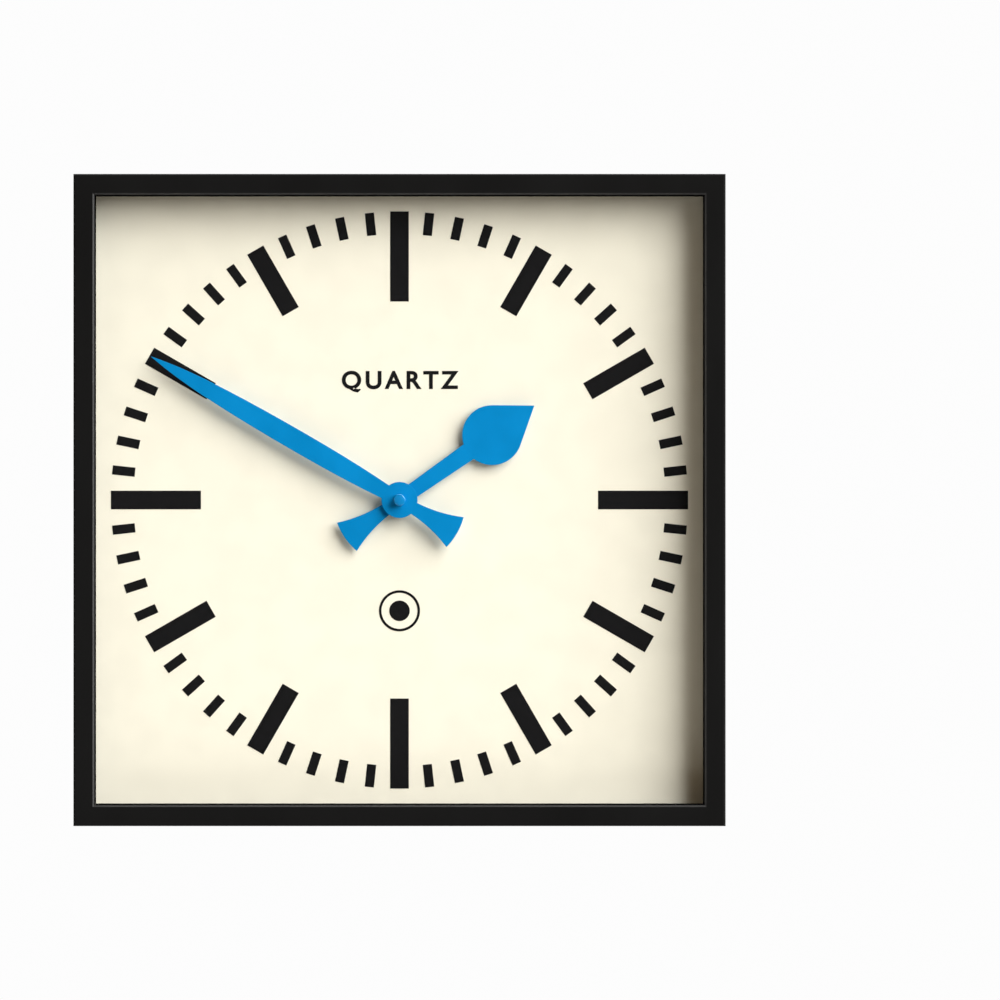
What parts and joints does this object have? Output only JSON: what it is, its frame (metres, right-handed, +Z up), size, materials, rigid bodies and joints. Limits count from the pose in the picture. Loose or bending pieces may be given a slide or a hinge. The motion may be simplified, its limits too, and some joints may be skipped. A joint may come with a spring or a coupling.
{
  "type": "wall clock",
  "caption": "Square wall clock with a flat bezel, a pale dial under a clear pane, baton marks, geared hour and minute hands, a battery movement and a keyhole hanger.",
  "frame": {"origin": "the point where the axis of the hands meets the wall, on the plane of the case's rear rim", "axes": "+Y into the wall (the clock faces -Y), +Z up, +X to the right as seen from the front"},
  "size_m": [0.335, 0.045, 0.335],
  "materials": {
    "case_plastic": "fine satin, moulded",
    "foam_tape": "matt foam",
    "lens_glass": "clear, flat, polished",
    "spacer_plastic": "matt, moulded",
    "dial_board": "matt cream lacquer on a smooth board",
    "dial_ink": "matt screen-printed black ink",
    "cover_plastic": "matt, lightly textured",
    "zinc_steel": "zinc plated",
    "rivet_aluminium": "satin",
    "movement_plastic": "satin, moulded",
    "plate_plastic": "satin, moulded",
    "gasket_rubber": "matt",
    "brass": "turned",
    "board_laminate": "solder-resist lacquer",
    "chip_epoxy": "matt epoxy",
    "crystal_can": "satin can",
    "bobbin_plastic": "satin, moulded",
    "copper_wire": "enamelled copper winding",
    "core_steel": "soft iron, stamped",
    "magnet_ferrite": "sintered",
    "wheel_plastic": "natural acetal",
    "knob_plastic": "satin, moulded",
    "hand_paint": "bright blue satin lacquer",
    "battery_sleeve": "printed film sleeve on a steel can",
    "contact_nickel": "nickel-plated spring strip"
  },
  "bodies": {
    "clock": {"case": "case_plastic", "lens_gasket": "foam_tape", "lens": "lens_glass", "dial_spacer": "spacer_plastic", "dial_plate": "dial_board", "hour_markers": "dial_ink", "minute_markers": "dial_ink", "dial_emblem": "dial_ink", "rear_cover": "cover_plastic", "rear_cover_screws": "zinc_steel", "hanger_plate": "zinc_steel", "hanger_rivets": "rivet_aluminium", "movement_housing": "movement_plastic", "movement_mid_plate": "plate_plastic", "movement_rear_cover": "movement_plastic", "movement_gasket": "gasket_rubber", "dial_washer": "brass", "movement_nut": "brass", "circuit_board": "board_laminate", "timer_chip": "chip_epoxy", "quartz_crystal": "crystal_can", "coil_bobbin": "bobbin_plastic", "drive_coil": "copper_wire", "coil_core": "core_steel", "stator": "core_steel", "battery_contact_positive": "contact_nickel", "battery_contact_negative": "contact_nickel"},
    "minute_group": {"minute_hand": "hand_paint", "hand_cap_nut": "hand_paint", "minute_arbor": "brass", "centre_wheel": "brass"},
    "hour_group": {"hour_hand": "hand_paint", "hour_wheel": "wheel_plastic"},
    "motion_wheel": {"motion_wheel": "wheel_plastic"},
    "setting_knob": {"setting_knob": "knob_plastic"},
    "third_wheel": {"third_wheel": "wheel_plastic"},
    "second_wheel": {"second_wheel": "wheel_plastic"},
    "intermediate_wheel": {"intermediate_wheel": "wheel_plastic"},
    "rotor": {"rotor_magnet": "magnet_ferrite", "rotor_pinion": "wheel_plastic"},
    "battery": {"battery": "battery_sleeve"}
  },
  "joints": [
    {"name": "minute_hand_turn", "type": "hinge", "parent": "clock", "child": "minute_group", "pos_m": [0, -0.03, 0], "axis": [0, 1, 0], "continuous": true},
    {"name": "hour_hand_turn", "type": "hinge", "parent": "clock", "child": "hour_group", "pos_m": [0, -0.028, 0], "axis": [0, 1, 0], "continuous": true},
    {"name": "motion_wheel_turn", "type": "hinge", "parent": "clock", "child": "motion_wheel", "pos_m": [0.00811, -0.017, 0.00217], "axis": [0, 1, 0], "continuous": true},
    {"name": "setting_knob_turn", "type": "hinge", "parent": "clock", "child": "setting_knob", "pos_m": [0.01648, -0.01, 0.00144], "axis": [0, 1, 0], "continuous": true},
    {"name": "third_wheel_turn", "type": "hinge", "parent": "clock", "child": "third_wheel", "pos_m": [-0.00686, -0.0135, 0.00396], "axis": [0, 1, 0], "continuous": true},
    {"name": "second_wheel_turn", "type": "hinge", "parent": "clock", "child": "second_wheel", "pos_m": [-0.00906, -0.0098, 0.01217], "axis": [0, 1, 0], "continuous": true},
    {"name": "intermediate_wheel_turn", "type": "hinge", "parent": "clock", "child": "intermediate_wheel", "pos_m": [-0.00113, -0.0098, 0.01587], "axis": [0, 1, 0], "continuous": true},
    {"name": "rotor_turn", "type": "hinge", "parent": "clock", "child": "rotor", "pos_m": [0.00784, -0.0098, 0.01665], "axis": [0, 1, 0], "continuous": true},
    {"name": "battery_slide", "type": "slide", "parent": "clock", "child": "battery", "axis": [0, 1, 0], "range_m": [0, 0.03]}
  ],
  "couplings": [
    {"joint": "hour_hand_turn", "follows": "minute_hand_turn", "ratio": 0.083333},
    {"joint": "motion_wheel_turn", "follows": "minute_hand_turn", "ratio": -0.33333},
    {"joint": "setting_knob_turn", "follows": "minute_hand_turn", "ratio": 1},
    {"joint": "third_wheel_turn", "follows": "minute_hand_turn", "ratio": -8},
    {"joint": "second_wheel_turn", "follows": "minute_hand_turn", "ratio": 60},
    {"joint": "intermediate_wheel_turn", "follows": "minute_hand_turn", "ratio": -360},
    {"joint": "rotor_turn", "follows": "minute_hand_turn", "ratio": 1800}
  ]
}
